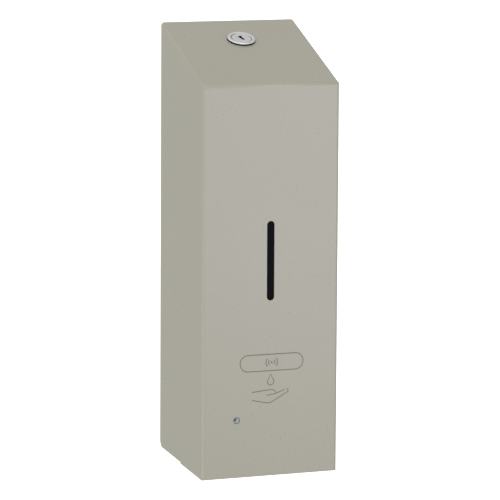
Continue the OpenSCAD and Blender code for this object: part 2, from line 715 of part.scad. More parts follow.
module drive_gear() color([0.9, 0.88, 0.8]) translate([gear_x[0], pump_y, gear_z0 + 0.15])
    difference() {
        linear_extrude(gear_h) gear_outline();
        translate([0, 0, -1]) cylinder(h = gear_h + 2, r = shaft_r);
    }

// The driven gear turns with its own stub shaft
module driven_gear() color([0.9, 0.88, 0.8]) translate([gear_x[1], pump_y, gear_z0 + 0.15])
    rotate(180 / teeth) {
        linear_extrude(gear_h) gear_outline();
        translate([0, 0, -2.4]) cylinder(h = gear_h + 4.4, r = shaft_r);
    }

// ---------- motor ----------

motor_top = motor_z0 + motor_h;
can_t = 0.8;

module motor_shaft() color("silver") translate([motor_x, pump_y, gear_z0 - 2])
    cylinder(h = motor_top + 2.5 - gear_z0, r = shaft_r);

module motor_armature() color([0.7, 0.4, 0.2]) translate([motor_x, pump_y, 0]) {
    tube(motor_z0 + 7, motor_z0 + 23, 8.8, shaft_r);
    tube(motor_z0 + 24.5, motor_z0 + 28.5, 3.2, shaft_r);
}

module motor_magnets() color([0.2, 0.2, 0.22]) translate([motor_x, pump_y, 0]) difference() {
    tube(motor_z0 + 6, motor_z0 + 24, motor_r - can_t, 9.6);
    for (a = [0, 90]) rotate(a) translate([-20, -2, 0]) cube([40, 4, 200]);
}

module motor_can() color("silver") translate([motor_x, pump_y, 0]) difference() {
    translate([0, 0, motor_z0]) cylinder(h = motor_h - 2, r = motor_r);
    translate([0, 0, motor_z0 + 1]) cylinder(h = motor_h, r = motor_r - can_t);
    translate([0, 0, motor_z0 - 1]) cylinder(h = 10, r = shaft_r + run);
}

module motor_cap() color([0.12, 0.12, 0.12]) translate([motor_x, pump_y, 0]) difference() {
    union() {
        translate([0, 0, motor_top - 2]) cylinder(h = 2, r = motor_r);
        translate([0, 0, motor_top - eps]) cylinder(h = 1.6, r = 4);
        for (s = [-1, 1]) block([s * 8 - 1.5, -0.3, motor_top - 1], [s * 8 + 1.5, 0.3, motor_top + 4]);
    }
    translate([0, 0, motor_top - 3]) cylinder(h = 10, r = shaft_r + run);
}

// ---------- electronics ----------

led_r = 2.3;
sensor_z = 22;            // height of the sensor's two lamps
sensor_y = board_y - board_t - 2.9;

module circuit_board() color([0.05, 0.35, 0.15]) difference() {
    block([board_x[0], board_y - board_t, board_z[0]], [board_x[1], board_y, board_z[1]]);
    for (z = [20, 88]) rod_y(board_y - 5, board_y + 5, 1.6, board_x[0] + 3, z);
}

// Two chips, a capacitor and the motor's and the cells' connectors, each block as its two
// corners seen from the rear and its height off the board
board_blocks = [[[-42, 50], [-32, 60], 2], [[-30, 40], [-24, 46], 1.6],
    [[-44, 28], [-36, 36], 7], [[-32, 24], [-24, 32], 6]];

module board_parts() color([0.15, 0.15, 0.15]) {
    for (b = board_blocks)
        block([b[0][0], board_y, b[0][1]], [b[1][0], board_y + b[2], b[1][1]]);
    translate([-27, board_y, 70]) rotate([-90, 0, 0]) cylinder(h = 11, r = 4);
}

module led(r, body_h) {
    cylinder(h = body_h, r = r);
    translate([0, 0, body_h]) difference() {
        sphere(r);
        translate([0, 0, -2 * r]) cube(4 * r, center = true);
    }
    cylinder(h = 1, r = r + 0.4);
}

module status_led() color([0.3, 0.5, 1]) translate([lens_x, board_y - board_t, lens_z])
    rotate([90, 0, 0]) led(led_r, 9);

module ir_emitter() color([0.5, 0.5, 0.6]) translate([-30, sensor_y, sensor_z])
    rotate([180, 0, 0]) led(led_r, 5.5);

module ir_receiver() color([0.1, 0.1, 0.12]) translate([-20, sensor_y, sensor_z])
    rotate([180, 0, 0]) led(led_r, 5.5);

module sensor_window() color([0.12, 0.03, 0.05]) {
    top = chassis_z0 + chassis_t;
    block([eye_x[0] + 0.2, eye_y[0] + 0.2, chassis_z0 - 0.5],
        [eye_x[1] - 0.2, eye_y[1] - 0.2, top + eps]);
    block([eye_x[0] - 1.5, eye_y[0] - 1, top], [eye_x[1] + 1.5, eye_y[1] + 1, top + 0.8]);
}

module switch_body() color([0.2, 0.2, 0.2]) difference() {
    block([switch_x - 5, chassis_front_y + 0.1, switch_z - 8],
        [switch_x + 5, board_y - board_t, switch_z + 8]);
    block([switch_x - 2.4, chassis_front_y - 1, switch_z - 5],
        [switch_x + 2.4, chassis_front_y + 6.1, switch_z + 5]);
}

// Slider shown in its lower place
module switch_slider() color("red")
    block([switch_x - 2.1, panel_y - 2.2, switch_z - 4.4],
        [switch_x + 2.1, chassis_front_y + 5.8, switch_z + 0.4]);

// ---------- batteries ----------

module battery_tray() color([0.16, 0.16, 0.17]) difference() {
    block([tray_x[0], tray_y[0], tray_z[0]], [tray_x[1], tray_y[1], tray_z[1]]);
    block([tray_x[0] + tray_t, tray_y[0] - 1, tray_z[0] + tray_t],
        [tray_x[1] - tray_t, tray_y[1] - tray_t, tray_z[1] - tray_t]);
}

module battery_cell(i) {
    up = i % 2 == 0 ? 1 : -1;
    nub = 1.2;
    color([0.15, 0.45, 0.75]) translate([cell_x[i], cell_y, cell_z[i] + cell_h / 2])
        rotate([up > 0 ? 0 : 180, 0, 0]) translate([0, 0, -cell_h / 2]) {
            cylinder(h = cell_h - nub, r = cell_r);
            translate([0, 0, cell_h - nub - eps]) cylinder(h = nub, r = 2.7);
        }
}

// A wound wire spring from z0 to z1 that narrows towards its free end
module contact_spring(z0, z1) {
    turns = 3;
    per_turn = 14;
    wire([for (k = [0 : turns * per_turn]) let (f = k / (turns * per_turn), a = k * 360 / per_turn,
        r = 4.8 - 2 * f) [r * cos(a), r * sin(a), z0 + (z1 - z0) * f]], 0.35, 6);
}

// Each cell's flat end rests on a spring, at the tray's floor or at its roof
module battery_springs() color("silver") for (i = [0 : 3]) translate([cell_x[i], cell_y, 0])
    if (i % 2 == 0) contact_spring(tray_z[0] + tray_t + contact_t + 0.4, cell_z[i] - 0.4);
    else contact_spring(tray_z[1] - tray_t - contact_t - 0.4, cell_z[i] + cell_h + 0.4);

module battery_contacts() color("silver") for (i = [0 : 3]) {
    y0 = cell_y - 6;
    y1 = cell_y + 6;
    x0 = cell_x[i] - 6;
    x1 = cell_x[i] + 6;
    floor_z = tray_z[0] + tray_t;
    roof_z = tray_z[1] - tray_t;
    block([x0, y0, floor_z], [x1, y1, floor_z + contact_t]);
    block([x0, y0, roof_z - contact_t], [x1, y1, roof_z]);
}

door_screw_at = [14.25, 40.5];

// Lid over the cells: a flange on the panel, a plug in the opening and an ear for its screw
module battery_door() color([0.95, 0.95, 0.95]) difference() {
    flange = 2.5;
    flange_y = [panel_y - 1.5, panel_y - 0.05];
    play = 0.3;
    ear = 5.25;
    union() {
        round_y([door_x[0] - flange, door_z[0] - flange], [door_x[1] + flange, door_z[1] + flange],
            flange_y, 3);
        round_y([door_x[0] + play, door_z[0] + play], [door_x[1] - play, door_z[1] - play],
            [panel_y - 0.1, chassis_front_y], 1);
        round_y([door_screw_at[0] - ear, door_screw_at[1] - ear],
            [door_screw_at[0] + ear, door_z[0] + 5], flange_y, 4);
    }
    rod_y(panel_y - 5, panel_y + 5, 1.7, door_screw_at[0], door_screw_at[1]);
}

// A panel between the corners a and b, given as (x, z), with corner radius r
module round_y(a, b, y, r) translate([0, y[1], 0]) rotate([90, 0, 0]) linear_extrude(y[1] - y[0])
    rounded_outline([[a[0], a[1], r], [b[0], a[1], r], [b[0], b[1], r], [a[0], b[1], r]]);

module door_screw() color("silver") translate([door_screw_at[0], panel_y - 1.5, door_screw_at[1]])
    rotate([90, 0, 0]) screw(1.3, 3.5, 2.8, 1.6);

// ---------- leads ----------

// Points on a smooth route through p, by repeated corner cutting
function cut(p) = concat([p[0]], [for (i = [0 : len(p) - 2]) each
    [0.75 * p[i] + 0.25 * p[i + 1], 0.25 * p[i] + 0.75 * p[i + 1]]], [p[len(p) - 1]]);

module motor_leads() color([0.7, 0.1, 0.1]) for (s = [-1, 1])
    wire(cut(cut([[motor_x + s * 8, pump_y, motor_top + 4.2], [motor_x + s * 8, pump_y, motor_top + 9],
        [-26 + s * 1.5, pump_y - 4, motor_top + 11], [-38 + s, pump_y - 12, 60],
        [-40 + s, board_y + 16, 34 + s], [-40 + s * 2, board_y + 7.2, 32]])), 0.7);

module battery_leads() color([0.1, 0.1, 0.1]) for (s = [-1, 1])
    wire(cut(cut([[tray_x[0] - 0.75, tray_y[1] - 5 + s * 2, 56], [-19, tray_y[1] - 2 + s * 2, 54],
        [-20 + s, board_y + 16 + s * 2, 42], [-28 + s * 2, board_y + 14, 29],
        [-28 + s * 2, board_y + 6.2, 28]])), 0.7);

// ---------- nodes ----------

front_cover();
level_window();
status_light_pipe();
hinge_pins();
pin_clips();
lock_barrel();
lock_nut();
lock_plug();
lock_cam();
cam_screw();
wall_plate();
latch_bracket();
hinge_washers();
chassis();
chassis_panel();
chassis_screws();
panel_screws();
tank_base();
tank();
tank_top();
tank_lid();
lid_gasket();
lid_pin();
tank_socket();
socket_ring();
inlet_hose();
outlet_hose();
nozzle();
pump_body();
pump_gasket();
pump_cover();
pump_screws();
drive_gear();
driven_gear();
motor_shaft();
motor_armature();
motor_magnets();
motor_can();
motor_cap();
circuit_board();
board_parts();
status_led();
ir_emitter();
ir_receiver();
sensor_window();
switch_body();
switch_slider();
battery_tray();
battery_cell(0);  // battery_cell_1
battery_cell(1);  // battery_cell_2
battery_cell(2);  // battery_cell_3
battery_cell(3);  // battery_cell_4
battery_springs();
battery_contacts();
battery_door();
door_screw();
motor_leads();
battery_leads();
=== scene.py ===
import json
from math import acos, cos, degrees, pi, radians, sin, tan

import bmesh
import bpy
from mathutils import Matrix, Vector
from mathutils.bvhtree import BVHTree


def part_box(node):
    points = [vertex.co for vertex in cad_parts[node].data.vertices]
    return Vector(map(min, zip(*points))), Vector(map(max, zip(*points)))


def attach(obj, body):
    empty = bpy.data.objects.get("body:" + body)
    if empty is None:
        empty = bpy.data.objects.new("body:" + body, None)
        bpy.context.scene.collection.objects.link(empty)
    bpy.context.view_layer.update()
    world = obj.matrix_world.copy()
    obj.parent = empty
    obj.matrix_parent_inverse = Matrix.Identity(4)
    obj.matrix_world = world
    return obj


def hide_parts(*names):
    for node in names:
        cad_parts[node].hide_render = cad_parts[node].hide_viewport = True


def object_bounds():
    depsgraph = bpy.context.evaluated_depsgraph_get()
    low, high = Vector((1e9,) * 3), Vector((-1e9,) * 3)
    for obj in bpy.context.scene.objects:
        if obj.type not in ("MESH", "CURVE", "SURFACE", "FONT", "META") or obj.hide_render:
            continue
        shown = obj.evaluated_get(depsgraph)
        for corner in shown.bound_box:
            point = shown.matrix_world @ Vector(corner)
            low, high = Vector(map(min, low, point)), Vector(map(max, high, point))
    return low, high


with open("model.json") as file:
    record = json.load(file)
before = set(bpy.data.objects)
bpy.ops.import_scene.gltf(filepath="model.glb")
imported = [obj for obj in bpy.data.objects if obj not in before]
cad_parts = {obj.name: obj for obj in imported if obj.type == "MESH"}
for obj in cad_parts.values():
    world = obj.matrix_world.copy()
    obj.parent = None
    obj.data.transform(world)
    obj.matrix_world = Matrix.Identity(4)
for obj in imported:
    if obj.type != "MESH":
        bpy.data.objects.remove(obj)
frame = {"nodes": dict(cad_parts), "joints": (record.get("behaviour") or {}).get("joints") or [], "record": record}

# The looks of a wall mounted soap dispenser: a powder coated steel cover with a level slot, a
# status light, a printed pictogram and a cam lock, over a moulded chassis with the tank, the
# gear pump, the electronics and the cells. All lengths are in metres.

MM = 0.001
CAD_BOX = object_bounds()
RECORD = frame["record"]
SLOT_OF = {part["node"]: part["material_slot"] for part in RECORD["subparts"]}
BODY_OF = {node: body for body, nodes in RECORD["behaviour"]["bodies"].items() for node in nodes}
JOINT = {joint["name"]: joint for joint in frame["joints"]}
X, Y, Z = Vector((1, 0, 0)), Vector((0, 1, 0)), Vector((0, 0, 1))


# ---------- materials ----------

def linear(red, green, blue):
    """A colour given in 0 to 255 display values, as the linear values that a shader takes."""
    def channel(value):
        share = value / 255
        return share / 12.92 if share <= 0.04045 else ((share + 0.055) / 1.055) ** 2.4
    return (channel(red), channel(green), channel(blue), 1)


def scaled(color, factor):
    return tuple(min(1, c * factor) for c in color[:3]) + (1,)


class Finish:
    """A Principled shader whose colour, roughness and relief follow procedural textures."""

    def __init__(self, name, **sockets):
        self.material = bpy.data.materials.new(name)
        self.material.use_nodes = True
        self.tree = self.material.node_tree
        self.tree.nodes.clear()
        self.shader = self.add("ShaderNodeBsdfPrincipled")
        output = self.add("ShaderNodeOutputMaterial")
        self.tree.links.new(self.shader.outputs["BSDF"], output.inputs["Surface"])
        self.place = self.add("ShaderNodeTexCoord").outputs["Object"]
        self.relief = None
        for socket, value in sockets.items():
            self.shader.inputs[socket.replace("_", " ")].default_value = value

    def add(self, kind, inputs=(), **settings):
        node = self.tree.nodes.new(kind)
        for name, value in settings.items():
            setattr(node, name, value)
        for key, value in dict(inputs).items():
            if isinstance(value, bpy.types.NodeSocket):
                self.tree.links.new(value, node.inputs[key])
            else:
                node.inputs[key].default_value = value
        return node

    def stretched(self, x, y, z):
        """Object coordinates scaled along each axis."""
        node = self.add("ShaderNodeMapping", {"Vector": self.place, "Scale": (x, y, z)})
        return node.outputs["Vector"]

    def noise(self, size, detail=2.0, place=None):
        """Soft clouds of about that size."""
        inputs = {"Vector": place or self.place, "Scale": 1 / size, "Detail": detail}
        return self.add("ShaderNodeTexNoise", inputs).outputs["Fac"]

    def cells(self, size, feature="F1", output="Distance", distance="EUCLIDEAN"):
        inputs = {"Vector": self.place, "Scale": 1 / size}
        node = self.add("ShaderNodeTexVoronoi", inputs, feature=feature, distance=distance)
        return node.outputs[output]

    def spread(self, value, low, high, start=0.25, end=0.75):
        """The value from start to end, mapped onto low to high."""
        inputs = {"Value": value, "From Min": start, "From Max": end,
                  "To Min": low, "To Max": high}
        return self.add("ShaderNodeMapRange", inputs).outputs["Result"]

    def mix(self, share, first, second):
        node = self.add("ShaderNodeMix", data_type="RGBA")
        for key, value in ((0, share), (6, first), (7, second)):
            if isinstance(value, bpy.types.NodeSocket):
                self.tree.links.new(value, node.inputs[key])
            else:
                node.inputs[key].default_value = value
        return node.outputs[2]

    def color(self, value):
        self.tree.links.new(value, self.shader.inputs["Base Color"])
        return self

    def rough(self, value):
        self.tree.links.new(value, self.shader.inputs["Roughness"])
        return self

    def bump(self, height, depth, strength=1.0):
        """Adds a relief of that depth to the surface."""
        inputs = {"Height": height, "Distance": depth, "Strength": strength}
        if self.relief is not None:
            inputs["Normal"] = self.relief
        self.relief = self.add("ShaderNodeBump", inputs).outputs["Normal"]
        self.tree.links.new(self.relief, self.shader.inputs["Normal"])
        return self


def grained(name, color, shift, cloud, rough, grain, depth, **sockets):
    """A colour that shifts by a share over clouds, with a fine grain in roughness and relief."""
    finish = Finish(name, **sockets)
    clouds = finish.spread(finish.noise(cloud, 3), 0, 1)
    finish.color(finish.mix(clouds, scaled(color, 1 - shift), scaled(color, 1 + shift)))
    fine = finish.noise(grain, 3)
    finish.rough(finish.spread(fine, rough[0], rough[1]))
    return finish.bump(fine, depth)


def powder_coat():
    """Satin powder coat: soft orange peel, faint clouds and fine pigment specks."""
    finish = Finish("powder_coat", Specular_IOR_Level=0.9)
    paint = linear(171, 168.5, 150.5)
    clouds = finish.spread(finish.noise(45 * MM, 2), 0, 1)
    specks = finish.spread(finish.noise(0.35 * MM, 2), 0, 1, 0.35, 0.65)
    body = finish.mix(clouds, scaled(paint, 0.985), scaled(paint, 1.015))
    finish.color(finish.mix(specks, body, scaled(paint, 0.995)))
    peel = finish.noise(1.8 * MM, 2)
    finish.rough(finish.spread(peel, 0.27, 0.30))
    finish.bump(peel, 0.0009 * MM)
    return finish.bump(finish.noise(0.4 * MM, 1), 0.00012 * MM).material


def zinc_sheet():
    """Zinc coated sheet steel with faint spangle and rolling lines."""
    finish = Finish("zinc_sheet", Metallic=1.0)
    spangle = finish.spread(finish.cells(6 * MM, output="Color"), 0, 1, 0.2, 0.8)
    finish.color(finish.mix(spangle, linear(196, 199, 201), linear(208, 210, 211)))
    lines = finish.noise(1.2 * MM, 3, finish.stretched(1, 1, 0.02))
    finish.rough(finish.spread(lines, 0.34, 0.5))
    return finish.bump(lines, 0.004 * MM).material


def turned_nickel():
    """Satin nickel with fine marks in its roughness and relief."""
    finish = Finish("turned_nickel", Metallic=1.0)
    wear = finish.spread(finish.noise(4 * MM, 4), 0, 1)
    finish.color(finish.mix(wear, linear(226, 226, 226), linear(240, 240, 241)))
    marks = finish.noise(0.5 * MM, 3)
    finish.rough(finish.spread(marks, 0.26, 0.4))
    return finish.bump(marks, 0.003 * MM).material


def hardware(name, color, low, high):
    """Plated steel with fine scratches."""
    finish = Finish(name, Metallic=1.0)
    wear = finish.spread(finish.noise(2.5 * MM, 4), 0, 1)
    finish.color(finish.mix(wear, scaled(color, 0.88), color))
    scratches = finish.noise(0.6 * MM, 4, finish.stretched(1, 1, 0.15))
    finish.rough(finish.spread(scratches, low, high))
    return finish.bump(scratches, 0.003 * MM).material


def windings():
    """Enamelled copper wire wound in fine turns."""
    finish = Finish("windings", Metallic=0.8)
    turns = finish.add("ShaderNodeTexWave", {"Vector": finish.place, "Scale": 1 / (2.2 * MM),
                       "Distortion": 0.6, "Detail": 1.0}, bands_direction="Z").outputs["Fac"]
    finish.color(finish.mix(turns, linear(96, 44, 20), linear(196, 112, 60)))
    finish.rough(finish.spread(turns, 0.42, 0.28, 0, 1))
    return finish.bump(turns, 0.12 * MM).material


def solder_mask():
    """Green mask with the paler lines of the copper below it."""
    finish = Finish("solder_mask", Coat_Weight=0.4, Coat_Roughness=0.15)
    tracks = finish.cells(3.4 * MM, feature="F2", distance="CHEBYCHEV")
    lines = finish.spread(tracks, 0, 1, 0.55, 0.6)
    finish.color(finish.mix(lines, linear(22, 92, 52), linear(44, 122, 70)))
    finish.rough(finish.spread(finish.noise(0.8 * MM), 0.26, 0.38))
    return finish.bump(lines, 0.02 * MM).material


def clear(name, color, rough, transmission, **sockets):
    """A see-through plastic with a faint variation in its surface."""
    finish = Finish(name, Transmission_Weight=transmission, IOR=1.49, **sockets)
    haze = finish.spread(finish.noise(6 * MM, 3), 0, 1)
    finish.color(finish.mix(haze, scaled(color, 0.94), color))
    fine = finish.noise(0.7 * MM, 2)
    finish.rough(finish.spread(fine, rough[0], rough[1]))
    return finish.bump(fine, 0.002 * MM).material


def status_lens():
    """Clear lens, pale in its middle, with painted shade darker at its rim and in a spot up and to the left, where
    the hole's edge shades it.
    """
    finish = Finish("clear_lens", Transmission_Weight=0.3, IOR=1.49)
    low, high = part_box("status_light_pipe")
    centre = (low + high) / 2
    # The middle of a painted shade spot, up and to the left of the lens's middle
    shade_spot = Vector((centre.x - 1.35 * MM, low.y, centre.z + 0.75 * MM))
    flat = finish.add("ShaderNodeVectorMath", {0: finish.place, 1: (1, 0, 1)},
                      operation="MULTIPLY")

    def reach(point, start, end):
        """0 within start of the point's axis along Y, rising to 1 at end."""
        node = finish.add("ShaderNodeVectorMath", {0: flat.outputs[0], 1: (point.x, 0, point.z)},
                          operation="DISTANCE")
        return finish.spread(node.outputs["Value"], 0, 1, start, end)

    haze = finish.spread(finish.noise(1.2 * MM, 2), 0, 1)
    body = finish.mix(haze, linear(164, 175, 182), linear(210, 219, 224))
    # Painted shade: the rim and the spot up and to the left are mixed darker, standing in for the shade of the
    # hole's edge
    shaded_rim = finish.mix(reach(centre, 1.7 * MM, 2.4 * MM), body, linear(100, 114, 114))
    finish.color(finish.mix(reach(shade_spot, 0.5 * MM, 1.2 * MM), linear(38, 38, 44), shaded_rim))
    fine = finish.noise(0.7 * MM, 2)
    finish.rough(finish.spread(fine, 0.12, 0.2))
    return finish.bump(fine, 0.002 * MM).material


def moulded(name, color, grain=0.45 * MM, depth=0.008 * MM, rough=(0.38, 0.52), **sockets):
    return grained(name, color, 0.03, 14 * MM, rough, grain, depth, **sockets).material


MATERIAL = {
    "cover_paint": powder_coat(),
    "plate_steel": zinc_sheet(),
    "smoked_clear": clear("smoked_clear", linear(7, 7, 7), (0.2, 0.3), 0.0,
                          Specular_IOR_Level=0.05),
    "clear_lens": status_lens(),
    "lock_chrome": turned_nickel(),
    "steel_hardware": hardware("steel_hardware", linear(204, 204, 206), 0.24, 0.4),
    "spring_steel": hardware("spring_steel", linear(70, 72, 78), 0.3, 0.45),
    "white_nylon": moulded("white_nylon", linear(232, 230, 222), Subsurface_Weight=0.15,
                           Subsurface_Scale=1 * MM),
    "chassis_plastic": moulded("chassis_plastic", linear(226, 226, 222), depth=0.015 * MM),
    "tank_plastic": clear("tank_plastic", linear(236, 240, 238), (0.3, 0.42), 0.35,
                          Subsurface_Weight=0.2, Subsurface_Scale=1.5 * MM),
    "dark_plastic": moulded("dark_plastic", linear(48, 50, 53)),
    "silicone": moulded("silicone", linear(214, 214, 208), rough=(0.5, 0.65)),
    "black_rubber": moulded("black_rubber", linear(30, 30, 31), rough=(0.55, 0.75)),
    "hose_clear": clear("hose_clear", linear(224, 230, 226), (0.18, 0.3), 0.5),
    "pump_plastic": moulded("pump_plastic", linear(62, 64, 68), rough=(0.3, 0.42)),
    "gear_plastic": moulded("gear_plastic", linear(234, 228, 210), rough=(0.28, 0.4)),
    "gasket_red": moulded("gasket_red", linear(168, 62, 46), rough=(0.5, 0.65)),
    "copper_winding": windings(),
    "ferrite": grained("ferrite", linear(58, 58, 62), 0.12, 1.5 * MM, (0.5, 0.7), 0.2 * MM,
                       0.02 * MM).material,
    "board_green": solder_mask(),
    "led_blue": clear("led_blue", linear(120, 150, 235), (0.06, 0.12), 0.5),
    "led_clear": clear("led_clear", linear(220, 222, 228), (0.05, 0.1), 0.8),
    "led_dark": clear("led_dark", linear(34, 34, 42), (0.08, 0.15), 0.1),
    "eye_dark": clear("eye_dark", linear(44, 16, 22), (0.06, 0.12), 0.2),
    "switch_red": moulded("switch_red", linear(190, 42, 32), rough=(0.3, 0.42)),
    "cell_wrap": grained("cell_wrap", linear(64, 96, 150), 0.04, 6 * MM, (0.22, 0.3), 0.5 * MM,
                         0.003 * MM, Coat_Weight=0.3).material,
    "contact_nickel": hardware("contact_nickel", linear(214, 211, 204), 0.2, 0.34),
    "lead_red": moulded("lead_red", linear(176, 40, 34), rough=(0.35, 0.5)),
    "lead_black": moulded("lead_black", linear(34, 34, 35), rough=(0.35, 0.5)),
    "print_ink": grained("print_ink", linear(126, 122, 108), 0.05, 3 * MM, (0.45, 0.55),
                         0.3 * MM, 0.002 * MM).material,
    # Near-black finish for the inside of the keyway: painted shade in the deep slot
    "keyway_painted_shade": grained("keyway_painted_shade", linear(9, 9, 10), 0.1, 2 * MM, (0.6, 0.8), 0.4 * MM,
                           0.01 * MM, Specular_IOR_Level=0.1).material,
    # Dark metal for the lock rim's flank: painted shade where the rim stands on the paint
    "rim_flank_painted_shade": hardware("rim_flank_painted_shade", linear(40, 39, 35), 0.45, 0.6),
}


# ---------- mesh tools ----------

def new_piece(name, mesh, node=None, slot=None, body=None):
    """Links a mesh as a piece that rides on a node's body and has the finish of its slot."""
    piece = bpy.data.objects.new(name, mesh)
    bpy.context.scene.collection.objects.link(piece)
    slot = slot or SLOT_OF[node]
    piece.data.materials.clear()
    piece.data.materials.append(MATERIAL[slot])
    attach(piece, body or BODY_OF[node])
    return piece


def as_mesh(bm, name):
    """The mesh of a bmesh, which is then freed."""
    mesh = bpy.data.meshes.new(name)
    bm.to_mesh(mesh)
    bm.free()
    return mesh


def smooth(bm, angle=40):
    """Smooth shading that stays crisp over edges sharper than the angle."""
    for face in bm.faces:
        face.smooth = True
    for edge in bm.edges:
        edge.smooth = not edge.is_manifold or edge.calc_face_angle(0) < radians(angle)


def keep_flats(piece):
    """Large flat faces keep their own normals, so that only the rounded edges shade."""
    modifier = piece.modifiers.new("flats", "WEIGHTED_NORMAL")
    modifier.keep_sharp = True


def softened(node, width, steps=3, angle=35, name=None):
    """A copy of a CAD node with its sharp edges rounded, which stands for the node."""
    mesh = frame["nodes"][node].data.copy()
    bm = bmesh.new()
    bm.from_mesh(mesh)
    bmesh.ops.remove_doubles(bm, verts=bm.verts, dist=0.001 * MM)
    bmesh.ops.dissolve_limit(bm, angle_limit=radians(0.5), verts=bm.verts, edges=bm.edges)
    sharp = [e for e in bm.edges if e.is_manifold and e.calc_face_angle(0) > radians(angle)]
    bmesh.ops.bevel(bm, geom=sharp, offset=width, segments=steps, profile=0.5, affect="EDGES",
                    clamp_overlap=True)
    smooth(bm)
    bm.to_mesh(mesh)
    bm.free()
    piece = new_piece(name or node + "_shape", mesh, node)
    keep_flats(piece)
    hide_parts(node)
    return piece


def fillet(points, radius, steps=4, closed=False):
    """A 2D line whose corners are rounded by arcs of at most that radius."""
    count = len(points)
    line = []
    for i, here in enumerate(points):
        here = Vector(here)
        if not closed and i in (0, count - 1):
            line.append(here)
            continue
        back, ahead = Vector(points[i - 1]) - here, Vector(points[(i + 1) % count]) - here
        half = back.angle(ahead) / 2
        if half > radians(88):
            line.append(here)
            continue
        reach = min(radius / tan(half), 0.49 * back.length, 0.49 * ahead.length)
        r = reach * tan(half)
        centre = here + (back.normalized() + ahead.normalized()).normalized() * r / sin(half)
        start = here + back.normalized() * reach - centre
        end = here + ahead.normalized() * reach - centre
        turn = start.angle_signed(end)
        for k in range(steps + 1):
            line.append(centre + Matrix.Rotation(-turn * k / steps, 2) @ start)
    return line


def lathe_mesh(profile, steps=72):
    """A closed solid of revolution about Z from (radius, height) points."""
    bm = bmesh.new()
    rings = []
    for r, h in profile:
        count = 1 if r < 1e-7 else steps
        rings.append([bm.verts.new((r * cos(2 * pi * k / steps), r * sin(2 * pi * k / steps), h))
                      for k in range(count)])
    for low, high in zip(rings, rings[1:]):
        for k in range(steps):
            corners = [low[k % len(low)], low[(k + 1) % len(low)],
                       high[(k + 1) % len(high)], high[k % len(high)]]
            corners = list(dict.fromkeys(corners))
            if len(corners) > 2:
                bm.faces.new(corners)
    bmesh.ops.remove_doubles(bm, verts=bm.verts, dist=0.0005 * MM)
    bmesh.ops.recalc_face_normals(bm, faces=bm.faces)
    smooth(bm, 50)
    return as_mesh(bm, "lathe")


def turned(name, profile, origin, axis, node=None, slot=None, body=None, steps=72):
    """A lathed piece standing at origin with its heights along axis."""
    mesh = lathe_mesh(profile, steps)
    upright = Vector(axis).to_track_quat("Z", "Y").to_matrix().to_4x4()
    mesh.transform(Matrix.Translation(origin) @ upright)
    return new_piece(name, mesh, node, slot, body)


def sweep_mesh(paths, radius, sides=16):
    """Round bars with closed ends, one along each path."""
    bm = bmesh.new()
    for path in paths:
        points = [Vector(p) for p in path]
        up, rings = None, []
        for i, point in enumerate(points):
            ahead, behind = points[min(i + 1, len(points) - 1)], points[max(i - 1, 0)]
            along = (ahead - behind).normalized()
            up = up or along.orthogonal()
            up = (up - along * up.dot(along)).normalized()
            across = along.cross(up)
            turns = [2 * pi * k / sides for k in range(sides)]
            rings.append([bm.verts.new(point + radius * (up * cos(a) + across * sin(a)))
                          for a in turns])
        for low, high in zip(rings, rings[1:]):
            for k in range(sides):
                bm.faces.new((low[k], low[(k + 1) % sides], high[(k + 1) % sides], high[k]))
        bm.faces.new(reversed(rings[0]))
        bm.faces.new(rings[-1])
    smooth(bm, 50)
    return as_mesh(bm, "sweep")


def blocks_mesh(boxes, round_by, steps=2):
    """Separate rounded blocks, each given by two corners."""
    bm = bmesh.new()
    for low, high in boxes:
        low, high = Vector(low), Vector(high)
        place = Matrix.Translation((low + high) / 2) @ Matrix.Diagonal((*(high - low), 1))
        bmesh.ops.create_cube(bm, size=1, matrix=place)
    bmesh.ops.bevel(bm, geom=bm.edges[:], offset=round_by, segments=steps, profile=0.5,
                    affect="EDGES", clamp_overlap=True)
    smooth(bm, 50)
    return as_mesh(bm, "blocks")


def face_of(node, origin, direction):
    """The point where a ray first meets a CAD node, and the outward normal there."""
    mesh = frame["nodes"][node].data
    tree = BVHTree.FromPolygons([v.co for v in mesh.vertices],
                                [list(p.vertices) for p in mesh.polygons])
    place, normal, _, _ = tree.ray_cast(Vector(origin), Vector(direction))
    return place, normal.normalized()


def solids_of(node):
    """The separate solids of a CAD node, each as its lowest and highest corner."""
    bm = bmesh.new()
    bm.from_mesh(frame["nodes"][node].data)
    bmesh.ops.remove_doubles(bm, verts=bm.verts, dist=0.001 * MM)
    seen, found = set(), []
    for start in bm.verts:
        if start in seen:
            continue
        seen.add(start)
        solid, waiting = [], [start]
        while waiting:
            vertex = waiting.pop()
            solid.append(vertex.co.copy())
            for edge in vertex.link_edges:
                other = edge.other_vert(vertex)
                if other not in seen:
                    seen.add(other)
                    waiting.append(other)
        found.append(tuple(Vector(pick(p[k] for p in solid) for k in range(3))
                           for pick in (min, max)))
    bm.free()
    return sorted(found, key=lambda corners: tuple(corners[0]))


def rounded(node):
    """A copy of a faceted CAD bar made round by subdivision, which stands for the node."""
    mesh = frame["nodes"][node].data.copy()
    bm = bmesh.new()
    bm.from_mesh(mesh)
    bmesh.ops.remove_doubles(bm, verts=bm.verts, dist=0.001 * MM)
    bmesh.ops.join_triangles(bm, faces=bm.faces, angle_face_threshold=radians(40),
                             angle_shape_threshold=radians(60))
    smooth(bm, 180)
    bm.to_mesh(mesh)
    bm.free()
    piece = new_piece(node + "_shape", mesh, node)
    piece.modifiers.new("round", "SUBSURF").levels = 1
    piece.modifiers["round"].render_levels = 1
    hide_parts(node)
    return piece


# ---------- cover ----------

def cover_shell():
    """The painted cover with its cut edges dressed."""
    return softened("front_cover", 0.18 * MM, steps=2, angle=50, name="cover_shell")


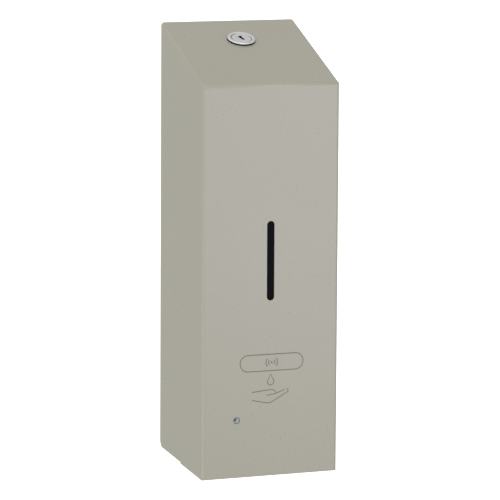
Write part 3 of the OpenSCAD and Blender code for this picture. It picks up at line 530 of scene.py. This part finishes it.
FRONT_POINT, FRONT_NORMAL = face_of("front_cover", (0.02, CAD_BOX[0].y - 0.1, 0.05), Y)
FRONT_UP = (Z - FRONT_NORMAL * FRONT_NORMAL.z).normalized()


def on_front(x, z, out=0.0):
    """The point of the front at that width and height, moved out of the face."""
    drop = (z - FRONT_POINT.z) / FRONT_UP.z
    return Vector((x, FRONT_POINT.y + FRONT_UP.y * drop, z)) + FRONT_NORMAL * out


def ribbon_into(bm, line, width, closed, place, rise):
    """Adds a stroke along a line of (x, z) points that place() lays on a face."""
    sink = 0.02 * MM
    count = len(line)
    rings = []
    for i, point in enumerate(line):
        before = line[i - 1] if closed or i else point
        after = line[(i + 1) % count] if closed or i < count - 1 else point
        along = (after - before).normalized()
        side = Vector((-along.y, along.x)) * width / 2
        corners = [(point + side, -sink), (point + side * 0.96, rise),
                   (point - side * 0.96, rise), (point - side, -sink)]
        rings.append([bm.verts.new(place(p.x, p.y, out)) for p, out in corners])
    pairs = list(zip(rings, rings[1:])) + ([(rings[-1], rings[0])] if closed else [])
    for a, b in pairs:
        for k in range(4):
            bm.faces.new((a[k], a[(k + 1) % 4], b[(k + 1) % 4], b[k]))
    if not closed:
        bm.faces.new(rings[0])
        bm.faces.new(reversed(rings[-1]))


def arc(centre, radius, start, end, steps=16):
    """Points on an arc, with the angles in degrees."""
    angles = [radians(start + (end - start) * k / steps) for k in range(steps + 1)]
    return [Vector((centre[0] + radius * cos(a), centre[1] + radius * sin(a))) for a in angles]


def strokes_mesh(strokes, width, place, rise):
    """A mark made of strokes, each (points in mm, closed)."""
    bm = bmesh.new()
    for line, closed in strokes:
        ribbon_into(bm, [Vector(p) * MM for p in line], width, closed, place, rise)
    bmesh.ops.recalc_face_normals(bm, faces=bm.faces)
    return as_mesh(bm, "strokes")


def print_piece(name, strokes, width):
    """One printed mark on the cover's front."""
    mesh = strokes_mesh(strokes, width, on_front, 0.035 * MM)
    return new_piece(name, mesh, slot="print_ink", body="cover")


def pill_outline():
    left, right, low, high = -23.9, 26.2, 81.4, 94.0
    r = (high - low) / 2
    middle = (low + high) / 2
    line = arc((right - r, middle), r, -90, 90, 20) + arc((left + r, middle), r, 90, 270, 20)
    return print_piece("print_pill", [(line, True)], 0.8 * MM)


def sensor_symbol():
    """A dot with arcs on both sides: the plain sign for a touch-free sensor."""
    centre = (1.2, 87.7)
    strokes = [(arc(centre, 0.45, 0, 360, 12)[:-1], True)]
    for r in (2.6, 4.6):
        strokes += [(arc(centre, r, -42, 42), False), (arc(centre, r, 138, 222), False)]
    return print_piece("print_sensor_sign", strokes, 0.8 * MM)


def drop_symbol():
    tip, r, centre = (0.4, 78.8), 2.55, (0.4, 72.9)
    reach = tip[1] - centre[1]
    touch = degrees(acos(r / reach))
    body = arc(centre, r, 90 + touch, 450 - touch, 24)
    return print_piece("print_drop", [([Vector(tip)] + body, True)], 0.75 * MM)


def hand_symbol():
    """An open hand in three strokes, each with its bends rounded."""
    strokes = [
        fillet([(-14.5, 65.4), (1.9, 67.0), (5.0, 64.3)], 2.4),
        fillet([(-2.9, 62.5), (4.2, 63.4), (11.6, 66.3)], 12),
        fillet([(13.6, 67.0), (14.9, 64.9), (0.8, 57.0), (-1.6, 56.5), (-14.5, 59.3)], 1.6),
    ]
    return print_piece("print_hand", [(line, False) for line in strokes], 0.75 * MM)


def level_window():
    """Smoked panel behind the slot, with rounded edges."""
    return softened("level_window", 0.3 * MM, name="window_panel")


def light_pipe():
    """Domed lens, its stem and its collar as one clear moulding."""
    low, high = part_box("status_light_pipe")
    centre = (low + high) / 2
    length = high.y - low.y
    collar_r = (high.x - low.x) / 2
    lens_r = collar_r - 1.5 * MM
    sheet_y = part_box("front_cover")[0].y
    collar_h = length - (sheet_y + 1.1 * MM - low.y) - 0.7 * MM
    dome = [Vector((lens_r * sin(radians(a)), length - 0.5 * MM * (1 - cos(radians(a)))))
            for a in range(0, 91, 10)]
    stem = [Vector((lens_r, collar_h)), Vector((collar_r, collar_h)),
            Vector((collar_r, collar_h - 1.5 * MM)), Vector((lens_r, collar_h - 1.5 * MM)),
            Vector((lens_r, 0)), Vector((0, 0))]
    piece = turned("light_pipe_lens", dome + fillet(stem, 0.15 * MM),
                   (centre.x, high.y, centre.z), -Y, "status_light_pipe", steps=48)
    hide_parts("status_light_pipe")
    return piece


# ---------- lock ----------

LOCK_AXIS = -Vector(JOINT["lock_turn"]["axis"]).normalized()
LOCK_PLACE = Vector(JOINT["lock_turn"]["pos_m"])


def around_lock(point):
    """A point's height along the lock's axis and its offset from that axis."""
    offset = point - LOCK_PLACE
    height = offset.dot(LOCK_AXIS)
    return height, offset - LOCK_AXIS * height


def lock_rim():
    """Threaded barrel under a rim whose flank is painted dark: painted shade and a painted dark reflection where
    the rim stands on the paint.
    """
    rim_r, rim_h, chamfer = 11 * MM, 1.9 * MM, 0.7 * MM
    barrel_r, bore_r, barrel_h = 9.5 * MM, 8.02 * MM, 20 * MM
    sheet, pitch, depth = 1 * MM, 1 * MM, 0.45 * MM
    rim = fillet([(rim_r, 0), (rim_r, rim_h - chamfer), (rim_r - chamfer, rim_h),
                  (bore_r + 0.25 * MM, rim_h), (bore_r, rim_h - 0.25 * MM), (bore_r, 0)],
                 0.3 * MM, 3)
    thread = [(bore_r, -barrel_h), (barrel_r - depth, -barrel_h)]
    turns = int((barrel_h - sheet - 2 * MM) / pitch)
    for k in range(turns):
        low = -barrel_h + 0.3 * MM + k * pitch
        thread += [(barrel_r - depth, low), (barrel_r, low + pitch * 0.45),
                   (barrel_r, low + pitch * 0.55)]
    thread += [(barrel_r - depth, -sheet - 1 * MM), (barrel_r, -sheet - 0.8 * MM), (barrel_r, 0)]
    piece = turned("lock_rim", thread + rim + [thread[0]], LOCK_PLACE, LOCK_AXIS,
                   "lock_barrel", steps=96)
    # The rim's flank below its chamfer takes the dark finish: painted shade where the rim stands on the paint
    piece.data.materials.append(MATERIAL["rim_flank_painted_shade"])
    for face in piece.data.polygons:
        height, out = around_lock(face.center)
        if out.length > barrel_r and height < rim_h - chamfer:
            face.material_index = 1
    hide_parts("lock_barrel")


def lock_core():
    """The plug with a narrow gap around its head and a keyway painted near-black inside as painted shade."""
    core = softened("lock_plug", 0.15 * MM, steps=2, name="lock_core")
    core.data.materials.append(MATERIAL["keyway_painted_shade"])
    gap, plug_r, head_h = 0.35 * MM, 7.95 * MM, -3 * MM
    for vertex in core.data.vertices:
        height, out = around_lock(vertex.co)
        if out.length > plug_r - 0.3 * MM and height > head_h:
            vertex.co -= out.normalized() * gap
    face_height, keyway_reach, keyway_floor = 1.4 * MM, 4.1 * MM, -13 * MM
    # Painted shade: the faces inside the keyway take the near-black finish
    for face in core.data.polygons:
        height, out = around_lock(face.center)
        if keyway_floor < height < face_height and out.length < keyway_reach:
            face.material_index = 1


# ---------- inside ----------

EDGE_ROUNDING = {
    "hinge_pins": 0.3, "pin_clips": 0.12, "hinge_washers": 0.2, "lock_nut": 0.35, "lock_cam": 0.3,
    "cam_screw": 0.25, "wall_plate": 0.25, "latch_bracket": 0.25, "chassis": 0.5,
    "chassis_panel": 0.4, "chassis_screws": 0.12, "panel_screws": 0.12, "tank": 0.7,
    "tank_top": 0.6, "tank_lid": 0.5, "lid_gasket": 0.12, "lid_pin": 0.25, "tank_socket": 0.3,
    "nozzle": 0.35, "pump_body": 0.3, "pump_gasket": 0.08, "pump_cover": 0.4, "pump_screws": 0.12,
    "motor_magnets": 0.2, "motor_can": 0.5, "motor_cap": 0.25, "circuit_board": 0.15,
    "sensor_window": 0.2, "switch_body": 0.4, "switch_slider": 0.3, "battery_tray": 0.35,
    "battery_contacts": 0.08, "battery_door": 0.45, "door_screw": 0.12, "inlet_hose": 0.3,
    "outlet_hose": 0.3, "motor_shaft": 0.2, "motor_armature": 0.6, "tank_base": 0.7,
    "status_led": 0.15, "ir_emitter": 0.15, "ir_receiver": 0.15, "socket_ring": 0.05,
    "drive_gear": 0.12, "driven_gear": 0.12,
}


def soften_inside():
    for node, width in EDGE_ROUNDING.items():
        if node in frame["nodes"]:
            softened(node, width * MM)


def cells():
    """Round cells with a crimped shoulder, a printed sleeve and bare metal ends."""
    for index in range(1, 5):
        node = f"battery_cell_{index}"
        low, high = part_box(node)
        centre = (low + high) / 2
        r, length = (high.x - low.x) / 2, high.z - low.z
        nub_up = index % 2 == 1
        nub_h, nub_r, sleeve_edge = 1.2 * MM, 2.7 * MM, 1.25 * MM
        body_h = length - nub_h
        sleeve = [(0, 0), (r - 1.6 * MM, 0), (r - 1.4 * MM, 0.25 * MM), (r - 0.5 * MM, 0.25 * MM),
                  (r, 0.7 * MM), (r, body_h - 1.1 * MM), (r - 0.6 * MM, body_h - 0.4 * MM),
                  (r - 1.4 * MM, body_h - 0.4 * MM), (r - 1.7 * MM, body_h - 0.1 * MM),
                  (nub_r + 0.6 * MM, body_h - 0.1 * MM), (nub_r, body_h + 0.1 * MM),
                  (nub_r - 0.1 * MM, length - 0.3 * MM), (nub_r - 0.5 * MM, length), (0, length)]
        axis = Z if nub_up else -Z
        start = Vector((centre.x, centre.y, low.z if nub_up else high.z))
        piece = turned(node + "_shape", fillet(sleeve, 0.15 * MM, 2), start, axis, node, steps=64)
        piece.data.materials.append(MATERIAL["contact_nickel"])
        for face in piece.data.polygons:
            along = (face.center - start).dot(axis)
            out = (face.center - start - axis * along).length
            if out < r - sleeve_edge:
                face.material_index = 1
        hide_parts(node)


def springs():
    """Conical wire springs whose end turns lie flat, wide at the tray and narrow at the cell."""
    wire_r, narrow_r, turns, per_turn, flat = 0.35 * MM, 2.8 * MM, 4, 40, 0.8
    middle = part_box("battery_tray")
    middle = (middle[0].z + middle[1].z) / 2
    paths = []
    for low, high in solids_of("battery_springs"):
        centre, wide_r = (low + high) / 2, (high.x - low.x) / 2 - wire_r
        ends = [low.z + wire_r, high.z - wire_r]
        if low.z > middle:
            ends.reverse()
        path = []
        for k in range(turns * per_turn + 1):
            turn = k / per_turn
            rise = min(1, max(0, (turn - flat) / (turns - 2 * flat)))
            r = wide_r + (narrow_r - wide_r) * turn / turns
            path.append((centre.x + r * cos(2 * pi * turn), centre.y + r * sin(2 * pi * turn),
                         ends[0] + (ends[1] - ends[0]) * rise))
        paths.append(path)
    piece = new_piece("springs", sweep_mesh(paths, wire_r, 10), "battery_springs")
    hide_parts("battery_springs")


def capacitor(centre, r, foot, length):
    """A round can in a sleeve with a groove near its foot and a recessed top, all in the sleeve's finish."""
    profile = fillet([(0, 0), (r * 0.86, 0), (r * 0.86, 0.6 * MM), (r, 1 * MM), (r, 1.6 * MM),
                      (r * 0.93, 2.1 * MM), (r, 2.6 * MM), (r, length - 0.3 * MM),
                      (r * 0.72, length - 0.3 * MM), (r * 0.7, length - 0.5 * MM),
                      (0, length - 0.5 * MM)], 0.25 * MM, 3)
    piece = turned("capacitor", profile, (centre.x, foot, centre.z), Y, "board_parts", "cell_wrap")
    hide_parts("board_parts")


def board_parts():
    """Chips on their pins, connectors with open sockets and a capacitor in its sleeve."""
    blocks, pins = [], []
    board_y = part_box("circuit_board")[1].y
    chip_h, can_h = 3 * MM, 9 * MM
    wall, lift, leg = 0.8 * MM, 0.25 * MM, 1.2 * MM
    pin_pitch, pin_half, leg_half = 2.5 * MM, 0.3 * MM, 0.2 * MM
    for low, high in solids_of("board_parts"):
        size = high - low
        if size.y > can_h:
            capacitor((low + high) / 2, size.x / 2, board_y, size.y)
        elif size.y > chip_h:
            blocks += [(low, (high.x, low.y + size.y * 0.4, high.z)),
                       (low, (low.x + wall, high.y, high.z)),
                       ((high.x - wall, low.y, low.z), high),
                       (low, (high.x, high.y, low.z + wall)),
                       ((low.x, low.y, high.z - wall), high)]
            for side in (-1, 1):
                x = (low.x + high.x) / 2 + side * pin_pitch / 2
                z = (low.z + high.z) / 2
                pins.append(((x - pin_half, low.y, z - pin_half),
                             (x + pin_half, high.y - 1 * MM, z + pin_half)))
        else:
            blocks.append(((low.x + wall, low.y + lift, low.z),
                           (high.x - wall, high.y, high.z)))
            count = int(size.z / (1.27 * MM))
            for k in range(count):
                z = low.z + (k + 0.5) * size.z / count
                for x0, x1 in ((low.x, low.x + leg), (high.x - leg, high.x)):
                    pins.append(((x0, low.y, z - leg_half),
                                 (x1, low.y + size.y / 2, z + leg_half)))
    for name, boxes, slot in (("board_cases", blocks, None),
                              ("board_pins", pins, "contact_nickel")):
        piece = new_piece(name, blocks_mesh(boxes, 0.08 * MM, 1), "board_parts", slot)
        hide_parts("board_parts")


def on_face(y):
    """Places a stroke's points on an upright face at that y, with their rise towards the user."""
    return lambda x, z, out: Vector((x, y - out, z))


def level_marks():
    """Printed ticks up the tank's front, long at the half and at the full mark."""
    low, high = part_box("tank")
    start, rise, half_h = low.x + 9 * MM, 0.3 * MM, 0.35 * MM
    count, full = 10, 0.94
    ticks = []
    for k in range(1, count + 1):
        z = low.z + (high.z - low.z) * full * k / count
        length = (12 if k % 5 == 0 else 7) * MM
        ticks.append(((start, low.y - rise, z - half_h),
                      (start + length, low.y + rise, z + half_h)))
    new_piece("level_marks", blocks_mesh(ticks, 0.15 * MM), "tank", "print_ink")


def lid_ribs():
    """Grip ribs across the lid's finger tab."""
    low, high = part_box("tank_lid")
    middle = (low.x + high.x) / 2
    top = face_of("tank_lid", (middle, low.y + 4 * MM, high.z + 0.05), -Z)[0].z
    rise, sink = 0.3 * MM, 0.2 * MM
    boxes = [((middle - 8 * MM, low.y + (1.6 + 1.5 * k) * MM, top - sink),
              (middle + 8 * MM, low.y + (2.3 + 1.5 * k) * MM, top + rise)) for k in range(4)]
    new_piece("lid_ribs", blocks_mesh(boxes, 0.15 * MM), "tank_lid")


def door_marks():
    """Raised outlines of the four cells on the battery door, each with its nub's end."""
    face = face_of("battery_door", (0.005, CAD_BOX[0].y - 0.1, 0.07), Y)[0].y
    strokes = []
    half, low, high = 4, 58, 84
    nub_half, nub_h, sign_half, sign_inset = 1.4, 1.5, 1.6, 4.5
    for index in range(1, 5):
        cell_low, cell_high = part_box(f"battery_cell_{index}")
        x = (cell_low.x + cell_high.x) / 2 / MM
        nub = 1 if index % 2 == 1 else -1
        top, foot = (high, low) if nub == 1 else (low, high)
        outline = [(x - half, foot), (x + half, foot), (x + half, top), (x + nub_half, top),
                   (x + nub_half, top + nub_h * nub), (x - nub_half, top + nub_h * nub),
                   (x - nub_half, top), (x - half, top)]
        plus, minus = top - sign_inset * nub, foot + sign_inset * nub
        strokes += [(fillet(outline, 0.8, closed=True), True),
                    ([(x - sign_half, plus), (x + sign_half, plus)], False),
                    ([(x, plus - sign_half), (x, plus + sign_half)], False),
                    ([(x - sign_half, minus), (x + sign_half, minus)], False)]
    mesh = strokes_mesh(strokes, 0.8 * MM, on_face(face), 0.45 * MM)
    new_piece("door_marks", mesh, "battery_door")


def switch_marks():
    """A bar above and a ring below the switch: the plain signs for on and off."""
    low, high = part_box("switch_slider")
    middle = (low.x + high.x) / 2
    face = face_of("chassis_panel", (middle + 6 * MM, CAD_BOX[0].y - 0.1, low.z), Y)[0].y
    x, z = middle / MM, (low.z + high.z) / 2 / MM + 2
    strokes = [([(x, z + 7.6), (x, z + 11.2)], False),
               (arc((x, z - 9.6), 1.8, 0, 360, 24)[:-1], True)]
    mesh = strokes_mesh(strokes, 0.9 * MM, on_face(face), 0.3 * MM)
    new_piece("switch_marks", mesh, "chassis_panel", "dark_plastic")


def finish_cad():
    """Every CAD node takes the material of its slot."""
    for node, cad in frame["nodes"].items():
        material = MATERIAL[SLOT_OF[node]]
        if cad.material_slots:
            for place in cad.material_slots:
                place.material = material
        else:
            cad.data.materials.append(material)


# ---------- studio ----------

def aim(item, target):
    item.rotation_mode = "QUATERNION"
    item.rotation_quaternion = (Vector(target) - item.location).to_track_quat("-Z", "Y")


def camera():
    """The camera with a long lens, given by its place and its right and up axes."""
    lens = bpy.data.cameras.new("camera")
    lens.lens, lens.sensor_width = 201.6, 36
    lens.clip_start, lens.clip_end = 0.05, 100
    holder = bpy.data.objects.new("camera", lens)
    bpy.context.scene.collection.objects.link(holder)
    right, up = Vector((0.94752, -0.31959, 0.00826)), Vector((0.04850, 0.16923, 0.98438))
    back = right.cross(up).normalized()
    up = back.cross(right).normalized()
    turn = Matrix((right.normalized(), up, back)).transposed()
    holder.matrix_world = Matrix.Translation((-0.6771, -2.0560, 0.5420)) @ turn.to_4x4()
    bpy.context.scene.camera = holder


# Each softbox as its place, its target, its size, its power and its colour
SOFTBOXES = {
    "front_softbox": ((0.43, -1.23, 0.37), (0, -0.1, 0.25), (0.45, 1.15), 2.5, (0.79, 0.76, 1)),
    "left_softbox": ((-2.13, -1.51, -0.30), (0, -0.1, 0.15), (1.40, 0.90), 4.5, (1, 0.99, 0.93)),
    "top_softbox": ((0.05, -0.75, 1.25), (0, -0.05, 0.3), (0.80, 0.50), 0.48, (1, 0.99, 0.97)),
}
SURROUND = 0.68
# Where the surround is brighter than its middle: towards the user, the left and above
SURROUND_TILT = (-0.32, -0.20, 0.20)


def softbox(name, place, target, size, power, color):
    lamp = bpy.data.lights.new(name, "AREA")
    lamp.shape = "RECTANGLE"
    lamp.size, lamp.size_y = size
    lamp.energy = power
    lamp.color = color
    holder = bpy.data.objects.new(name, lamp)
    bpy.context.scene.collection.objects.link(holder)
    holder.location = place
    aim(holder, target)
    holder.visible_camera = False


def surround():
    """A surround that shows as pure white and lights softly, more from some sides."""
    world = bpy.data.worlds.new("surround")
    bpy.context.scene.world = world
    world.use_nodes = True
    tree = world.node_tree
    tree.nodes.clear()
    output, mix, shown, light, rays, place, tilt, level = (tree.nodes.new(kind) for kind in (
        "ShaderNodeOutputWorld", "ShaderNodeMixShader", "ShaderNodeBackground",
        "ShaderNodeBackground", "ShaderNodeLightPath", "ShaderNodeTexCoord",
        "ShaderNodeVectorMath", "ShaderNodeMath"))
    tilt.operation = "DOT_PRODUCT"
    tilt.inputs[1].default_value = [SURROUND * part for part in SURROUND_TILT]
    level.inputs[1].default_value = SURROUND
    shown.inputs["Color"].default_value = (1, 1, 1, 1)
    light.inputs["Color"].default_value = (1, 1, 1, 1)
    for source, target in ((place.outputs["Generated"], tilt.inputs[0]),
                           (tilt.outputs["Value"], level.inputs[0]),
                           (level.outputs[0], light.inputs["Strength"]),
                           (rays.outputs["Is Camera Ray"], mix.inputs[0]),
                           (light.outputs[0], mix.inputs[1]), (shown.outputs[0], mix.inputs[2]),
                           (mix.outputs[0], output.inputs["Surface"])):
        tree.links.new(source, target)


def studio():
    surround()
    for name, setting in SOFTBOXES.items():
        softbox(name, *setting)


def pale_floor():
    """A pale floor at the height below which such a dispenser hangs."""
    drop, reach = 1.1, 60
    bm = bmesh.new()
    bmesh.ops.create_grid(bm, x_segments=1, y_segments=1, size=reach)
    floor = bpy.data.objects.new("floor", as_mesh(bm, "floor"))
    bpy.context.scene.collection.objects.link(floor)
    floor.location.z = -drop
    finish = grained("pale_floor", linear(250, 250, 250), 0.005, 0.6, (0.6, 0.7), 0.02, 0.0001,
                     Emission_Color=(1, 1, 1, 1), Emission_Strength=0.75)
    floor.data.materials.append(finish.material)
    floor.visible_diffuse = False
    floor.visible_glossy = False


# ---------- the whole ----------

camera()
studio()
pale_floor()
bpy.context.scene.view_settings.view_transform = "Standard"
finish_cad()
cover_shell()
pill_outline()
sensor_symbol()
drop_symbol()
hand_symbol()
level_window()
light_pipe()
lock_rim()
lock_core()
soften_inside()
cells()
springs()
rounded("motor_leads")
rounded("battery_leads")
board_parts()
level_marks()
lid_ribs()
door_marks()
switch_marks()
